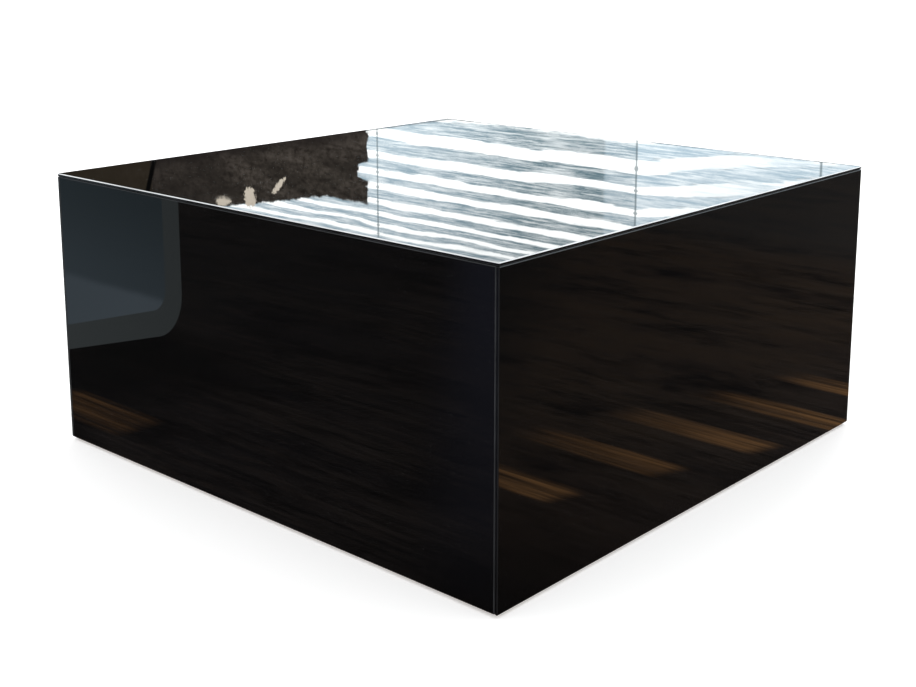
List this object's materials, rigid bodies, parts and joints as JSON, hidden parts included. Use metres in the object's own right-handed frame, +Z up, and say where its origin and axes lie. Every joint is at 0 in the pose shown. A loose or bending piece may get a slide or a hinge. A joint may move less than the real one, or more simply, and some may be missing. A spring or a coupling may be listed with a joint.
{
  "type": "block coffee table",
  "caption": "Low square block coffee table clad on its top and sides in black mirror-gloss glass, with hidden levelling feet.",
  "frame": {"origin": "on the floor, under the middle of the table", "axes": "+Z up; +Y from the front of the table to its back; +X to the right of someone who faces the front"},
  "size_m": [0.6, 0.6, 0.29],
  "materials": {
    "black_glass": "polished",
    "mirror_tape": "matte",
    "fibreboard": "matte",
    "pine": "matte",
    "hardboard": "satin",
    "beech": "matte",
    "zinc_steel": "satin",
    "insert_steel": "satin",
    "black_nylon": "matte",
    "felt": "matte"
  },
  "bodies": {
    "block": {"top_pane": "black_glass", "front_pane": "black_glass", "back_pane": "black_glass", "left_pane": "black_glass", "right_pane": "black_glass", "top_tape": "mirror_tape", "front_tape": "mirror_tape", "back_tape": "mirror_tape", "left_tape": "mirror_tape", "right_tape": "mirror_tape", "top_board": "fibreboard", "front_board": "fibreboard", "back_board": "fibreboard", "left_board": "fibreboard", "right_board": "fibreboard", "cross_rib": "fibreboard", "long_rib": "fibreboard", "post_front_left": "pine", "post_front_right": "pine", "post_back_left": "pine", "post_back_right": "pine", "bottom_cover": "hardboard", "top_dowels": "beech", "rib_dowels": "beech", "carcass_screws": "zinc_steel", "post_screws": "zinc_steel", "cover_screws": "zinc_steel", "foot_inserts": "insert_steel"},
    "pad_front_left": {"foot_pad_front_left": "black_nylon", "foot_sole_front_left": "felt"},
    "stem_front_left": {"foot_stem_front_left": "zinc_steel"},
    "pad_front_right": {"foot_pad_front_right": "black_nylon", "foot_sole_front_right": "felt"},
    "stem_front_right": {"foot_stem_front_right": "zinc_steel"},
    "pad_back_left": {"foot_pad_back_left": "black_nylon", "foot_sole_back_left": "felt"},
    "stem_back_left": {"foot_stem_back_left": "zinc_steel"},
    "pad_back_right": {"foot_pad_back_right": "black_nylon", "foot_sole_back_right": "felt"},
    "stem_back_right": {"foot_stem_back_right": "zinc_steel"}
  },
  "joints": [
    {"name": "foot_travel_front_left", "type": "slide", "parent": "block", "child": "pad_front_left", "axis": [0, 0, -1], "range_m": [0, 0.0075]},
    {"name": "foot_turn_front_left", "type": "hinge", "parent": "pad_front_left", "child": "stem_front_left", "pos_m": [-0.25, -0.25, 0.02], "axis": [0, 0, -1], "range_deg": [0, 2160]},
    {"name": "foot_travel_front_right", "type": "slide", "parent": "block", "child": "pad_front_right", "axis": [0, 0, -1], "range_m": [0, 0.0075]},
    {"name": "foot_turn_front_right", "type": "hinge", "parent": "pad_front_right", "child": "stem_front_right", "pos_m": [0.25, -0.25, 0.02], "axis": [0, 0, -1], "range_deg": [0, 2160]},
    {"name": "foot_travel_back_left", "type": "slide", "parent": "block", "child": "pad_back_left", "axis": [0, 0, -1], "range_m": [0, 0.0075]},
    {"name": "foot_turn_back_left", "type": "hinge", "parent": "pad_back_left", "child": "stem_back_left", "pos_m": [-0.25, 0.25, 0.02], "axis": [0, 0, -1], "range_deg": [0, 2160]},
    {"name": "foot_travel_back_right", "type": "slide", "parent": "block", "child": "pad_back_right", "axis": [0, 0, -1], "range_m": [0, 0.0075]},
    {"name": "foot_turn_back_right", "type": "hinge", "parent": "pad_back_right", "child": "stem_back_right", "pos_m": [0.25, 0.25, 0.02], "axis": [0, 0, -1], "range_deg": [0, 2160]}
  ],
  "couplings": [
    {"joint": "foot_travel_front_left", "follows": "foot_turn_front_left", "m_per_rad": 0.00019894},
    {"joint": "foot_travel_front_right", "follows": "foot_turn_front_right", "m_per_rad": 0.00019894},
    {"joint": "foot_travel_back_left", "follows": "foot_turn_back_left", "m_per_rad": 0.00019894},
    {"joint": "foot_travel_back_right", "follows": "foot_turn_back_right", "m_per_rad": 0.00019894}
  ]
}
